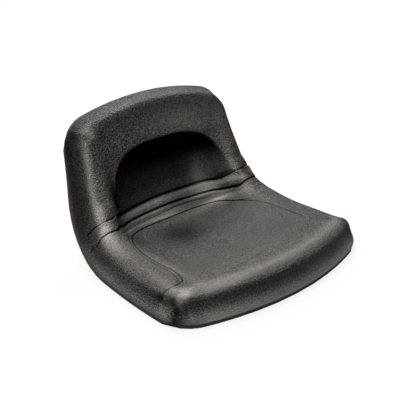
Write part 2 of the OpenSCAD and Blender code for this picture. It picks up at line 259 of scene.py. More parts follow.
# %% Lines of the grooves and seams
HIGH_LINE = [
    [-245, 346], [-227, 347], [-200, 341], [-185, 341], [-172, 345], [-160, 351], [-140, 360],
    [-102, 371], [-73, 376], [-15, 381.5], [39, 380.5], [80, 378.5], [97, 377.5], [125, 373.5],
    [150, 363], [160, 360.5], [171, 361.5], [189, 370], [215, 375], [245, 372]]
LOW_LINE = [
    [-250, 299], [-232, 290], [-205, 286], [-187, 287], [-175, 288], [-170, 292], [-166, 302],
    [-140, 322], [-118, 333], [-59, 342], [-5, 345], [49, 342], [103, 336], [130, 325],
    [148, 312], [155, 300], [163, 294], [176, 294], [196, 299], [250, 303]]
FINE_LINE = [
    [-250, 262], [-195, 266], [-170, 276], [-160, 281], [-150, 290], [-133, 304], [-104, 313], [-49, 320], [10, 326],
    [64, 321], [89, 315], [118, 311], [138, 298], [156, 280], [173, 273], [195, 268], [250, 264]]
PANEL_LINE = [
    [-200, 243], [-157, 251], [-144, 262], [-130, 271], [-115, 276], [-93, 280], [-41, 282],
    [10, 285], [41, 281], [67, 277], [92, 268], [111, 251], [134, 233], [160, 216], [200, 210]]
FRONT_LINE = [
    [-252, 47], [-241, 53], [-224, 57], [-209, 58], [-192, 55], [-184, 59], [-172, 68], [0, 68],
    [172, 68], [184, 59], [192, 54], [209, 50], [224, 47], [252, 44]]
PANEL_SIDES = {
    -1: [[0, 182], [62, 182], [78, 177], [93, 173], [132, 174], [185, 172], [211, 166],
         [236, 157], [251, 151], [263, 144], [HIGH_GROOVE, RECESS_HALF]],
    1: [[0, 182], [62, 182], [78, 177], [93, 173], [132, 174], [170, 173], [190, 168],
        [215, 156], [233, 142], [263, 138], [HIGH_GROOVE, RECESS_HALF]]}


def recess_line(x, size):
    """The recess's upper edge, which runs on over the wings with a slight fall."""
    share = np.minimum(1, np.abs(x) / RECESS_HALF)
    arch = np.maximum(0, 1 - share ** 3) ** (1 / 3)
    wing = 0.62 - 0.3 * (np.abs(x) / RECESS_HALF - 0.8)
    return HIGH_GROOVE + size * RECESS_LEN * np.maximum(arch, wing)


# %% [markdown]
# ## A grid that follows the lines
#
# A plain even grid would cut across the seams and blur them. So the rows here are drawn to
# follow the lines, closely spaced beside each one and wider between, as a sculptor lays edge
# loops where a crease will come. The columns do the same beside the panel's side seams.

# %% Rows and columns of the grid
FAN = [0.8, 1.6, 2.6, 4.0, 6.0]
WIDE_FAN = [1.0, 2.0, 3.0, 4.2, 5.6, 7.5]
GUIDES = [
    lambda x: front_edge(x, CREST_IN), lambda x: curve(FRONT_LINE, x),
    lambda x: curve(PANEL_LINE, x), lambda x: curve(FINE_LINE, x),
    lambda x: curve(LOW_LINE, x), lambda x: curve(HIGH_LINE, x),
    lambda x: recess_line(x, 0.9), lambda x: recess_line(x, 1),
    lambda x: top_edge(x, CREST_IN)]
FANS = [[], FAN, FAN, FAN, WIDE_FAN, WIDE_FAN, [], [], []]
BETWEEN = [14, 36, 9, 4, 7, 26, 12, 15]


def row_recipe():
    """Each row as [guide before, guide after, share between them, distance added]."""
    rows = []
    for g, fan in enumerate(FANS):
        rows += [[g, g, 0, -d] for d in fan[::-1]] if g else []
        rows.append([g, g, 0, 0])
        if g == len(GUIDES) - 1:
            break
        rows += [[g, g, 0, d] for d in fan]
        start = fan[-1] if fan else 0
        stop = FANS[g + 1][-1] if FANS[g + 1] else 0
        for j in range(1, BETWEEN[g]):
            t = j / BETWEEN[g]
            rows.append([g, g + 1, t, start * (1 - t) - stop * t])
    return np.array(rows)


RECIPE = row_recipe()
BEFORE, AFTER = RECIPE[:, 0].astype(int), RECIPE[:, 1].astype(int)


def spread(stations):
    """Stations of all rows from the stations of the guides."""
    share, added = RECIPE[:, 2:3], RECIPE[:, 3:4]
    return mix(stations[BEFORE], stations[AFTER], share) + added


SIDE_FAN = [0.8, 1.6, 2.6, 3.8, 5, 6.2, 7.4, 8.6, 9.8, 11, 12.5]
COLUMNS = np.array(
    [[t, 0, -FAN[-1] * t] for t in np.linspace(0, 1, 31)]
    + [[1, 0, d] for d in [-4, -2.6, -1.6, -0.8, 0] + SIDE_FAN]
    + [[1 - t, t, SIDE_FAN[-1] * (1 - t)] for t in np.linspace(0, 1, 14)[1:]])


def settle(side, x_of):
    """Where each guide meets a line x_of(s): found by trying again from the last answer."""
    out = []
    for guide in GUIDES:
        s = guide(np.float64(side * 180))
        for _ in range(40):
            s = 0.5 * s + 0.5 * guide(side * x_of(s))
        out.append(s)
    return np.array(out)


def crest_x(s):
    return side_x(s, CREST_IN)


def half_grid(side):
    """Columns of one half, from the middle out to the crest: x and s of every point."""
    def panel_x(s):
        return np.minimum(curve(PANEL_SIDES[side], s), 0.83 * crest_x(s))

    ends = settle(side, crest_x)
    ends[0] = front_edge(front_half(CREST_IN), CREST_IN)
    ends[-1] = top_edge(top_half(CREST_IN), CREST_IN)
    end = crest_x(spread(ends[:, None]))
    on_panel = spread(settle(side, panel_x)[:, None])
    panel = np.minimum(curve(PANEL_SIDES[side], on_panel), 0.83 * end)
    x = side * (COLUMNS[:, 0] * panel + COLUMNS[:, 1] * end + COLUMNS[:, 2])
    at_guides = [np.flatnonzero((BEFORE == g) & (AFTER == g) & (RECIPE[:, 3] == 0))[0]
                 for g in range(len(GUIDES))]
    stations = np.array([guide(x[j]) for guide, j in zip(GUIDES, at_guides)])
    return x, spread(stations), ends


LEFT, RIGHT = half_grid(-1), half_grid(1)
GRID_X = np.concatenate([LEFT[0][:, :0:-1], RIGHT[0]], 1)
GRID_S = np.concatenate([LEFT[1][:, :0:-1], RIGHT[1]], 1)
ROWS, COLS = GRID_X.shape[0] - 1, GRID_X.shape[1] - 1
RING = 2 * (ROWS + COLS)
print("grid of", ROWS, "by", COLS, "cells, closest rows", round(np.diff(GRID_S, axis=0).min(), 2), "mm")


# %% [markdown]
# ## Crowns between the lines
#
# Foam swells where the skin isn't drawn down. The strip between the two grooves is a fat roll,
# and the strips below it are slightly crowned. A crown is simply a low hill between two lines.

# %% Height of the cushion before its seams
def hump(t):
    """Half an ellipse from 0 to 1, as high as 1 in the middle."""
    c = np.clip(2 * t - 1, -1, 1)
    return np.sqrt(np.maximum(0, 1 - c * c))


def crown(x, s, low, high):
    return hump((s - curve(low, x)) / (curve(high, x) - curve(low, x)))


ROLL_H = 9.0
BEAD_W = 8.5
BEAD_H = 3.2
STRIP_H = 2.6


def cushion_n(x, s):
    n = mix(crest_n(x, s), fair(MID_HEIGHT, s, 6), in_bucket(x, s))
    away = np.abs(x)
    roll = ROLL_H * curve([[0, 1], [135, 1], [165, 0.6], [185, 0.35], [215, 0.25], [245, 0]], away)
    bead_top = curve(LOW_LINE, x)
    bead = BEAD_H * hump((s - bead_top + BEAD_W) / BEAD_W)
    strip = STRIP_H * crown(x, s, PANEL_LINE, FINE_LINE)
    fine = 1 - ease((away - 125) / 45)
    return n + roll * crown(x, s, LOW_LINE, HIGH_LINE) + fine * (bead + strip)


# %% [markdown]
# ## From the crest down the wall
#
# The edge of the cushion is a fat roll over a wall that leans slightly in. It is lofted as rings
# round the outline, from the crest to the lip of the pan. One short section of knots, given as
# shares, makes the whole wall, whatever its height. As the rings go down, the distance they have
# travelled is kept too: it carries the seams over the crest and down the wall.

# %% Rings of the wall
SECTION = np.array([
    [0, 37, 1, 0], [0.2, 30, 1, 0.4], [0.36, 24, 1, 1.2], [0.48, 19.2, 1, 2.6],
    [0.6, 15.5, 1, 4.8], [0.71, 13, 0.99, 7.8], [0.86, 10.8, 0.9, 8.6], [1.1, 7.4, 0.72, 8],
    [1.35, 3.6, 0.5, 5], [1.6, 0.8, 0.31, 2], [1.74, 0.3, 0.2, 0.6], [1.86, 1.3, 0.08, 0],
    [1.94, 3.4, 0, 0]])
WALL_RINGS = 30
WALL_END = 8.3
LIP_TOP = 9.4


def edge_of(grid):
    """The border of a grid, taken round from its front left corner."""
    return np.concatenate([grid[0, :-1], grid[:-1, -1], grid[-1, :0:-1], grid[:0:-1, 0]])


def side_stations(half, d):
    ends = half[2].copy()
    ends[0] = front_edge(front_half(d), d)
    ends[-1] = top_edge(top_half(d), d)
    return spread(ends[:, None])[:, 0]


def outline(d):
    """x and s of the points round the outline at the inset d."""
    front_x = GRID_X[0] / GRID_X[0, -1] * front_half(d)
    top_x = GRID_X[-1] / GRID_X[-1, -1] * top_half(d)
    right, left = side_stations(RIGHT, d), side_stations(LEFT, d)
    x = [front_x[:-1], side_x(right, d)[:-1], top_x[:0:-1], -side_x(left, d)[:0:-1]]
    s = [front_edge(front_x, d)[:-1], right[:-1], top_edge(top_x, d)[:0:-1], left[:0:-1]]
    return np.concatenate(x), np.concatenate(s)


def along_line(ring, flat):
    """Slide a ring's points so that its rows meet the lines where the flat skin has them."""
    where = np.arange(RING, dtype=float)
    for start, stop, step in ((COLS, COLS + ROWS, 1), (2 * COLS + ROWS, RING, -1)):
        span = np.arange(start, stop + 1) % RING
        own = np.arange(len(span), dtype=float)
        wanted = own[::step].copy()
        meets = []
        for g, guide in enumerate(GUIDES):
            at = float(np.flatnonzero((BEFORE == g) & (AFTER == g) & (RECIPE[:, 3] == 0))[0])
            if 1 <= g <= 5:
                miss = (flat[1, span] - guide(flat[0, span]))[::step]
                at = float(np.interp(0, miss, own))
            meets.append(at)
        ring_s = ring[1, span][::step]
        stations = np.interp(meets, own, ring_s)
        rows = spread(stations[:, None])[:, 0]
        wanted = np.interp(rows, ring_s, own)
        wanted[0], wanted[-1] = own[0], own[-1]
        where[span] = (start + wanted) if step == 1 else (start + own[-1] - wanted)[::-1]
    both = np.concatenate([ring, flat])
    both = np.concatenate([both, both[:, :1]], 1)
    slid = np.stack([np.interp(where, np.arange(RING + 1), row) for row in both])
    return slid[:3], slid[3:]


def wall():
    """Rings [x, s, n] of the wall, and the flat place [x, s] of each point of the skin."""
    x, s = edge_of(GRID_X), edge_of(GRID_S)
    n = cushion_n(x, s)
    along = np.stack([np.roll(x, -1) - np.roll(x, 1), np.roll(s, -1) - np.roll(s, 1)])
    out = np.stack([along[1], -along[0]]) / np.hypot(*along)
    crest, last, gone = np.stack([x, s]), np.stack([x, s, n]), 0
    rings, flat = [], []
    for t in np.linspace(0, SECTION[-1, 0], WALL_RINGS + 1)[1:]:
        rx, rs = outline(curve(SECTION[:, [0, 1]], t))
        fall = curve(SECTION[:, [0, 3]], t) * (n - WALL_END) / 48
        rn = WALL_END + (n - WALL_END) * curve(SECTION[:, [0, 2]], t) - fall
        ring = np.stack([rx, rs, rn])
        gone = gone + np.linalg.norm(ring - last, axis=0)
        last = ring
        slid, slid_flat = along_line(ring, crest + out * gone)
        rings.append(slid)
        flat.append(slid_flat)
    return rings, flat


RINGS, FLAT_RINGS = wall()
GRID_N = cushion_n(GRID_X, GRID_S)
SKIN = np.concatenate([np.stack([GRID_X.ravel(), GRID_S.ravel(), GRID_N.ravel()])] + RINGS, 1)
FLAT = np.concatenate([np.stack([GRID_X.ravel(), GRID_S.ravel()])] + FLAT_RINGS, 1)
print("skin points:", SKIN.shape[1])

# %% [markdown]
# ## Drawing the seams down
#
# A groove or a seam is made by moving the skin inwards, square to itself, by an amount that
# depends on the distance from the line. The distance is measured on the flat skin, so a seam
# keeps its width over the crest and down the wall. The grooves fade out in small puckers.


# %% Distance to a line
def distance(line, points):
    """Distance of the flat points to a line of [x, s] knots, and how far along x it is."""
    knots = np.array(line, float)
    best = np.full(points.shape[1], 1e9)
    for a, b in zip(knots[:-1], knots[1:]):
        near = np.flatnonzero(np.abs(points - ((a + b) / 2)[:, None]).max(0) < 30 + np.abs(b - a).max())
        step = b - a
        t = np.clip(((points[:, near].T - a) @ step) / (step @ step), 0, 1)
        away = np.linalg.norm(points[:, near].T - a - t[:, None] * step, axis=1)
        best[near] = np.minimum(best[near], away)
    return best


def drawn(line, depth, width, points):
    """Inward move of a seam: deepest on its line and gone at about twice its width."""
    smooth = [[x, float(curve(line, x))] for x in np.arange(line[0][0], line[-1][0] + 0.1, 3)]
    return depth * np.exp(-(distance(smooth, points) / width) ** 2)


def fade(knots, points):
    return curve(knots, np.abs(points[0]))


# %% All grooves and seams of the skin
PATH_LEFT = [[-144, 262], [-152, 251], [-157, 238], [-166, 211], [-172, 185], [-174, 132],
             [-173, 93], [-177, 78], [-182, 62], [-186, 57], [-192, 55], [-209, 58],
             [-224, 57], [-241, 53], [-252, 47]]
PATH_RIGHT = [[134, 233], [142, 228], [156, 215], [168, 190], [173, 170], [174, 132], [173, 93],
              [177, 78], [182, 62], [186, 57], [192, 54], [209, 50], [224, 47], [241, 45], [252, 44]]
WING_LINES = [[[-228, 326], [-215, 324], [-207, 323], [-196, 322], [-183, 326]],
              [[-228, 283], [-213, 275], [-200, 269], [-182, 271]]]
PUCKERS = [[-244, 347, 2.2], [-252, 303, 2.6], [-244, 52, 5.0], [246, 352, 2.0]]
OUTER_LEFT = [[-162, 284], [-160, 267], [-160, 251], [-163, 236], [-172, 210], [-178, 184], [-180, 132],
              [-179, 94], [-183, 80], [-187, 68], [-190, 63], [-196, 60]]


def rounded(path):
    """A path with its corners cut twice, as a seam takes them."""
    p = np.array(path, float)
    for _ in range(2):
        a, b = p[:-1], p[1:]
        p = np.concatenate([p[:1], np.stack([mix(a, b, 0.25), mix(a, b, 0.75)], 1).reshape(-1, 2), p[-1:]])
    return p


def seams(points):
    deep = fade([[0, 4.5], [150, 4.5], [172, 3.8], [200, 3.0], [228, 2.2], [248, 0]], points)
    total = drawn(HIGH_LINE, 1, 2.2, points) * deep
    total += drawn(LOW_LINE, 1, 2.0, points) * deep
    fine = fade([[0, 1.9], [150, 1.7], [165, 1.0], [182, 0]], points)
    total += drawn(FINE_LINE, 1, 1.2, points) * fine
    inner = (points[0] > -146) & (points[0] < 136)
    total += np.where(inner, drawn(PANEL_LINE, 1.7, 1.3, points), 0)
    for path, depth in ((PATH_LEFT, 1.7), (PATH_RIGHT, 1.7), (OUTER_LEFT, 1.1)):
        total = np.maximum(total, depth * np.exp(-(distance(rounded(path), points) / 1.2) ** 2))
    for path in WING_LINES:
        for side in (1, -1):
            line = [[side * x, s] for x, s in path]
            total += 0.8 * np.exp(-(distance(rounded(line), points) / 1.2) ** 2)
    for x, s, depth in PUCKERS:
        near = ((points[0] - x) / 5) ** 2 + ((points[1] - s) / 3.2) ** 2
        below = ((points[0] - x) / 5) ** 2 + ((points[1] - s + 6) / 3.2) ** 2
        total += depth * (np.exp(-near) - 0.55 * np.exp(-below))
    return total


# %% [markdown]
# ## Building the cover
#
# The outer skin, the hem and the inner face are one closed shell. The inner face is the outer
# one moved in by the thickness of the vinyl. The hem turns under the lip of the pan and up
# behind it, where the trim clamps it.

# %% Faces and normals of a skin
def grid_faces(first, turned=False):
    a = (np.arange(ROWS)[:, None] * (COLS + 1) + np.arange(COLS)).ravel() + first
    quads = np.stack([a, a + 1, a + COLS + 2, a + COLS + 1], 1)
    return quads[:, ::-1] if turned else quads


def border_ids(first):
    return edge_of(np.arange((ROWS + 1) * (COLS + 1)).reshape(ROWS + 1, COLS + 1)) + first


def band(upper, lower):
    return np.stack([lower, np.roll(lower, -1), np.roll(upper, -1), upper], 1)


def skin_faces():
    count = (ROWS + 1) * (COLS + 1)
    loops = [border_ids(0)] + [count + k * RING + np.arange(RING) for k in range(WALL_RINGS)]
    bands = [band(a, b) for a, b in zip(loops[:-1], loops[1:])]
    return np.concatenate([grid_faces(0)] + bands)


def normals(points, quads):
    q = points[quads]
    face = np.cross(q[:, 2] - q[:, 0], q[:, 3] - q[:, 1])
    out = np.zeros_like(points)
    for k in range(4):
        np.add.at(out, quads[:, k], face)
    return out / np.linalg.norm(out, axis=1, keepdims=True)


QUADS = skin_faces()
BASE = place(*SKIN)
OUT_WAY = normals(BASE, QUADS)
DRAWN = seams(FLAT)[:, None]
OUTER = BASE - MM * DRAWN * OUT_WAY
print("quads of the outer skin:", len(QUADS))


# %% Turn arrays into a closed piece
def closed_piece(name, outer, middle_rings, inner):
    """A shell from an outer skin, rings that lead round below, and an inner skin."""
    count = (ROWS + 1) * (COLS + 1)
    body = len(outer)
    first_inner = body + len(middle_rings) * RING
    points = np.concatenate([outer] + middle_rings + [inner])
    loops = [body - RING + np.arange(RING)]
    loops += [body + k * RING + np.arange(RING) for k in range(len(middle_rings))]
    loops += [first_inner + body - RING + np.arange(RING)] if len(inner) == body else []
    quads = [QUADS] + [band(a, b) for a, b in zip(loops[:-1], loops[1:])]
    if len(inner) == body:
        quads.append(QUADS[:, ::-1] + first_inner)
    else:
        quads.append(grid_faces(first_inner, turned=True))
        quads.append(band(loops[-1], border_ids(first_inner)))
    quads = np.concatenate(quads)
    mesh = bpy.data.meshes.new(name)
    mesh.vertices.add(len(points))
    mesh.vertices.foreach_set("co", points.astype(np.float32).ravel())
    mesh.loops.add(4 * len(quads))
    mesh.loops.foreach_set("vertex_index", quads.ravel())
    mesh.polygons.add(len(quads))
    mesh.polygons.foreach_set("loop_start", 4 * np.arange(len(quads)))
    mesh.update(calc_edges=True)
    mesh.validate()
    mesh.polygons.foreach_set("use_smooth", np.ones(len(mesh.polygons), bool))
    piece = bpy.data.objects.new(name, mesh)
    bpy.context.scene.collection.objects.link(piece)
    print(name, "has", sum(len(p.vertices) - 2 for p in mesh.polygons), "triangles")
    return piece


def ring_at(d, n):
    x, s = outline(d)
    return place(x, s, np.full_like(x, n))


# %% The cover
COVER_T = 1.4
LIP_IN = 6.5
SHEET_T = 1.2
HEM_LOW = 2.6
LIP_LOW = HEM_LOW + COVER_T
HEM_TOP = LIP_LOW + 4.5
hem_out, lip_back = LIP_IN - COVER_T, LIP_IN + SHEET_T
hem = [ring_at(hem_out, WALL_END - 0.3), ring_at(hem_out, HEM_LOW), ring_at(lip_back + COVER_T, HEM_LOW),
       ring_at(lip_back + COVER_T, HEM_TOP), ring_at(lip_back, HEM_TOP),
       ring_at(lip_back, LIP_LOW), ring_at(LIP_IN, LIP_LOW)]
INNER = BASE - MM * (DRAWN + COVER_T) * OUT_WAY
INNER[-RING:] = ring_at(LIP_IN, LIP_TOP)
cover = closed_piece("moulded_cover", OUTER, hem, INNER)
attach(cover, "root")
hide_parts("cover")


# %% [markdown]
# ## Highlights and shade, painted by rule
#
# The seat's light and shade are partly painted into its colour. Its crests, rolls and wall feet get painted
# highlights and painted floor reflections, and the recess, the seams and the walls under the crest get painted
# shade.
# Each mark below is a broad soft spot or a band along the crest, given by its place, its reach
# and its strength. The sums are kept on the skin as two attributes, which the vinyl reads later.

# %% Where the skin gets painted highlight and where it gets painted shade
# Painted highlights along the crest rolls, left and right.
PAINTED_CREST_HIGHLIGHT = {
    -1: [[15, -8, 9, 0], [34, -6, 8, 0.25], [48, -3, 8, 0.35], [70, -4, 12, 0.25], [160, -8, 16, 0.15],
         [220, 3, 16, 0.5], [260, 6, 15, 0.9], [300, 9, 14, 1.6], [340, 14, 12, 1.2], [400, 23, 11, 1.1],
         [450, 28, 9, 0.85], [500, 21, 8, 0.6], [540, 14, 8, 0.5], [560, 8, 8, 0.65], [578, 4, 8, 0.15], [595, 4, 8, 0]],
    1: [[220, -28, 12, 0.05], [260, -28, 14, 0.55], [300, -16, 12, 0.6], [320, -18, 11, 1.2],
        [340, -26, 12, 1.1], [380, -20, 10, 0.8], [440, -18, 10, 0.35], [500, -10, 20, 0.1]]}
# Painted shade on the walls just below the crest.
PAINTED_SHADE_BELOW_CREST = {
    -1: [[-30, 20, 9, 0.3], [30, 24, 9, 0.5], [60, 28, 8, 0.5], [140, 30, 8, 0.15], [200, 34, 9, 0.1],
         [250, 50, 14, 0.4], [310, 64, 16, 0.35], [380, 74, 26, 0.55], [450, 72, 30, 0.6],
         [500, 64, 28, 0.6], [545, 56, 26, 0.8], [575, 52, 24, 0.7], [600, 54, 20, 0.1]],
    1: [[-30, 20, 9, 0.7], [30, 22, 8, 0.8], [60, 28, 7, 0.8], [140, 32, 8, 0.6], [200, 38, 9, 0.5]]}
# Painted light on the lower left wall, as reflected from the floor.
PAINTED_LOW_WALL_REFLECTION = {
    -1: [[20, 62, 12, 0], [60, 64, 14, 0.55], [140, 64, 14, 0.6], [220, 68, 14, 0.5], [300, 74, 14, 0.25],
         [350, 80, 14, 0]]}
# Soft spots of painted highlight on rolls, corners and crests.
PAINTED_HIGHLIGHT_SPOTS = [
    [-165, -2, 34, 11, 0.3], [-218, 12, 16, 12, 1.1], [-222, 24, 12, 9, 0.4], [-62, 294, 42, 8, 0.45],
    [-70, 330, 40, 20, 0.15], [112, 312, 22, 8, 0.35], [85, 368, 26, 9, 0.25], [90, -52, 80, 16, 0.12],
    [-20, 362, 30, 12, 0.2], [90, 342, 36, 16, 0.8], [100, 385, 22, 28, 0.4], [112, 425, 26, 24, 0.25],
    [50, 550, 80, 24, 0.2], [-182, 235, 20, 38, 0.22], [92, 281, 34, 12, 1.0], [70, 264, 90, 20, 0.2],
    [-172, 125, 12, 90, 0.24], [-178, 420, 12, 75, 0.12], [219, 338, 22, 18, 1.5], [0, 20, 160, 40, 0.04],
    [-166, 573, 18, 12, 0.3], [-45, 298, 34, 12, 0.22], [-40, 346, 40, 24, 0.18], [-125, -12, 34, 10, 0.22],
    [165, -32, 40, 13, 0.15], [95, 520, 36, 14, 0.15]]
# Soft spots of painted shade in the recess, notches and corners; the two with negative strength take painted shade
# away, lightening the lower right of the recess.
PAINTED_SHADE_SPOTS = [
    [-62, 198, 50, 42, 0.62], [30, 205, 150, 40, 0.1], [-150, 240, 14, 30, 0.45], [-152, 412, 14, 66, 1.2],
    [160, 310, 12, 14, 0.5], [-10, 503, 130, 14, 0.5], [-224, -26, 20, 18, 0.6], [-247, 12, 9, 24, 0.45],
    [-140, 542, 16, 20, 0.3], [150, 555, 16, 18, 0.25], [212, 30, 16, 10, 0.25], [150, 371, 13, 9, 0.5], [-238, 46, 13, 18, 0.8], [115, 420, 36, 36, -0.45], [35, 403, 55, 18, -0.2],
    [136, 333, 16, 11, 0.8], [150, 608, 30, 36, 0.3], [-225, 100, 9, 34, 0.2],
    [168, 351, 15, 11, 0.6], [175, 290, 12, 8, 0.75]]


def spots(marks, points):
    total = 0
    for x, s, reach_x, reach_s, strength in marks:
        away = ((points[0] - x) / reach_x) ** 2 + ((points[1] - s) / reach_s) ** 2
        total = total + strength * np.exp(-away)
    return total


def crest_band(marks, side, points):
    """A band beside the crest; its knots hold the station, distance, reach and strength."""
    knots = np.array(marks, float)
    s = points[1]
    beside = np.abs(points[0]) - crest_x(s) - curve(knots[:, [0, 1]], s)
    strength = curve(knots[:, [0, 3]], s) * (side * points[0] > 0)
    return strength * np.exp(-(beside / curve(knots[:, [0, 2]], s)) ** 2)


def front_band(at, reach, strength, points):
    """A band along the front, at a distance inside (or, below zero, outside) the crest."""
    beside = points[1] - front_edge(np.clip(points[0], -215, 215), CREST_IN) - at
    return strength * np.exp(-(beside / reach) ** 2)


def top_band(at, reach, strength, points):
    beside = points[1] - top_edge(np.clip(points[0], -160, 160), CREST_IN) - at
    return strength * np.exp(-(beside / reach) ** 2)


# Painted highlights along the tops of the roll, the bead and the strip, just below their lines.
PAINTED_LINE_HIGHLIGHTS = [
    [HIGH_LINE, 14, 6, [[-130, 0.05], [-90, 0.3], [-40, 0.3], [-5, 0.12], [30, 0.2], [70, 0.4], [120, 0.5],
                        [150, 0.1]]],
    [LOW_LINE, 8, 2.8, [[-140, 0.1], [-100, 0.3], [-50, 0.5], [0, 0.15], [40, 0.3], [75, 0.6], [120, 0.6],
                        [150, 0.2]]],
    [FINE_LINE, 9, 6, [[-150, 0.18], [150, 0.18]]]]
# Painted shade in bands just below the grooves.
PAINTED_LINE_SHADE = [
    [HIGH_LINE, 4, 3, [[-150, 0.3], [-100, 0.8], [60, 0.9], [110, 0.8], [150, 0.5], [170, 0.3]]],
    [LOW_LINE, 14.5, 4, [[-150, 0.3], [-120, 0.4], [-60, 0.8], [0, 0.7], [80, 0.75], [110, 0.45], [140, 0]]],
    [LOW_LINE, 25, 6, [[-150, 0.2], [-70, 0.3], [-20, 0], [20, 0.45], [75, 0.5], [100, 0]]]]


def line_band(line, below, reach, strengths, points):
    """A band that follows a line at a distance below it, as on the top of a roll."""
    beside = points[1] - curve(line, points[0]) + below
    strength = curve(strengths, points[0]) * ease((175 - np.abs(points[0])) / 40)
    return strength * np.exp(-(beside / reach) ** 2)


# Painted highlight: all the bright marks summed into one mask.
def painted_highlight():
    towards_corner = ease((np.abs(FLAT[0]) - 175) / 50)
    # The band low on the front wall is painted light reflected from the floor, weaker towards the corners; the band
    # just inside the front crest is a painted highlight.
    foot = front_band(-82, 20, 2.5, FLAT) * (1 - 0.65 * towards_corner)
    total = spots(PAINTED_HIGHLIGHT_SPOTS, FLAT) + front_band(9, 11, 0.3, FLAT) + foot
    total += sum(line_band(*marks, FLAT) for marks in PAINTED_LINE_HIGHLIGHTS)
    bands = list(PAINTED_CREST_HIGHLIGHT.items()) + list(PAINTED_LOW_WALL_REFLECTION.items())
    return total + sum(crest_band(marks, side, FLAT) for side, marks in bands)


def painted_shade():
    """Painted shade: 1 where the skin lies deep under the recess's upper edge, 0 where it is exposed."""
    x, s = SKIN[0], SKIN[1]
    deep = ease((crest_n(x, s) - SKIN[2] - 2) / 10)
    above = ease((s - curve(HIGH_LINE, x)) / 4)
    low = 0.54 + 0.46 * ease((s - HIGH_GROOVE - 55) / 40)
    inside = ease((crest_x(s) - np.abs(x)) / 8) * ease((top_edge(x, CREST_IN) - s) / 8)
    # The band beyond the front crest is painted shade on the front wall, and the band beyond the top crest is
    # painted shade over the top rim.
    total = inside * deep * above * low + spots(PAINTED_SHADE_SPOTS, FLAT) + front_band(-28, 16, 0.5, FLAT)
    total += top_band(50, 28, 0.26, FLAT)
    total += sum(line_band(*marks, FLAT) for marks in PAINTED_LINE_SHADE)
    total += sum(crest_band(marks, side, FLAT) for side, marks in PAINTED_SHADE_BELOW_CREST.items())
    # Painted shade in the creases of the grooves and seams.
    in_seams = ease((DRAWN[:, 0] - 0.15) / 1.1)
    return np.clip(np.maximum(total, 0.95 * in_seams), 0, 1)


# The painted highlight and the painted shade are kept on the skin as two point attributes.
for label, values in (("painted_highlight", painted_highlight()), ("painted_shade", painted_shade())):
    kept = cover.data.attributes.new(label, "FLOAT", "POINT")
    given = np.zeros(len(cover.data.vertices), np.float32)
    given[:SKIN.shape[1]] = values
    kept.data.foreach_set("value", given)
    print(label, "from", round(float(values.min()), 2), "to", round(float(values.max()), 2))

# %% [markdown]
# ## The foam bun
#
# The foam fills the cover and lies flat on the pan. It takes the cover's inner face as its own
# outer face, a hair inside it, so the two meet everywhere, as foam poured into a skin does.

# %% The foam bun
FOAM_GAP = 0.05
FLOOR_TOP = 11.2
BEND_R = 1.8
bun = BASE - MM * (DRAWN + COVER_T + FOAM_GAP) * OUT_WAY
bun[-RING:] = ring_at(LIP_IN + FOAM_GAP, LIP_TOP + FOAM_GAP)
floor_share = (LIP_IN + BEND_R) / CREST_IN
floor_x, floor_s = outline(LIP_IN + BEND_R)


def floor_points():
    """The bun's flat underside: the grid again, stretched to the pan's floor."""
    x, s = GRID_X.copy(), GRID_S.copy()
    for j in range(ROWS + 1):
        wide = floor_x[COLS + j] if j < ROWS else top_half(LIP_IN + BEND_R)
        x[j] = GRID_X[j] / np.abs(GRID_X[j, [0, -1]]).max() * wide
    front, top = front_edge(x[0], LIP_IN + BEND_R), top_edge(x[-1], LIP_IN + BEND_R)
    t = (s - s[0]) / (s[-1] - s[0])
    return place(x.ravel(), mix(front, top, t).ravel(), np.full(x.size, FLOOR_TOP + FOAM_GAP))


foam = closed_piece("foam_bun", bun, [], floor_points())
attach(foam, "root")
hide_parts("foam_cushion")

# %% [markdown]
# ## The edge trim
#
# The trim is a plastic channel pushed over the hem all round the pan. The construction has its
# whole run already, so a copy of that mesh is the quickest true start; a new path swept with a
# profile would only repeat it. The copy is merged, its outer lip is drawn up to the cover, and
# its sharp corners are eased as a die leaves them.

# %% The edge trim
TRIM_LIP = 0.0075
LIP_RISE = 0.0007
EASED = 0.0004

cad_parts["edge_trim"].select_set(True)
bpy.context.view_layer.objects.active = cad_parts["edge_trim"]
bpy.ops.object.duplicate()
trim = bpy.context.object
trim.name = "soft_edge_trim"
trim.data = trim.data.copy()
bpy.ops.object.mode_set(mode="EDIT")
bpy.ops.mesh.select_all(action="SELECT")
bpy.ops.mesh.remove_doubles(threshold=0.00001)
bpy.ops.mesh.dissolve_limited(angle_limit=np.radians(0.5))
bpy.ops.mesh.select_all(action="DESELECT")
bpy.ops.object.mode_set(mode="OBJECT")
for vertex in trim.data.vertices:
    vertex.select = abs(vertex.co.z - TRIM_LIP) < 0.0003
print("points on the trim's outer lip:", sum(v.select for v in trim.data.vertices))
bpy.ops.object.mode_set(mode="EDIT")
bpy.ops.transform.translate(value=(0, 0, LIP_RISE))
bpy.ops.object.mode_set(mode="OBJECT")
easing = trim.modifiers.new("eased_corners", "BEVEL")
easing.limit_method = "ANGLE"
easing.angle_limit = np.radians(50)
easing.width = EASED
easing.segments = 2
bpy.ops.object.modifier_apply(modifier=easing.name)
bpy.ops.object.shade_smooth_by_angle(angle=np.radians(35))
bpy.ops.object.select_all(action="DESELECT")
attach(trim, "root")
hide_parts("edge_trim")
print("trim triangles:", sum(len(p.vertices) - 2 for p in trim.data.polygons))

# %% [markdown]
# ## Shared shader groups
#
# Grain is used by more than one finish, so it is a node group with named inputs and outputs. A group only puts out
# numbers that change over the surface, such as a height or a mask. The shader itself stays in the material.


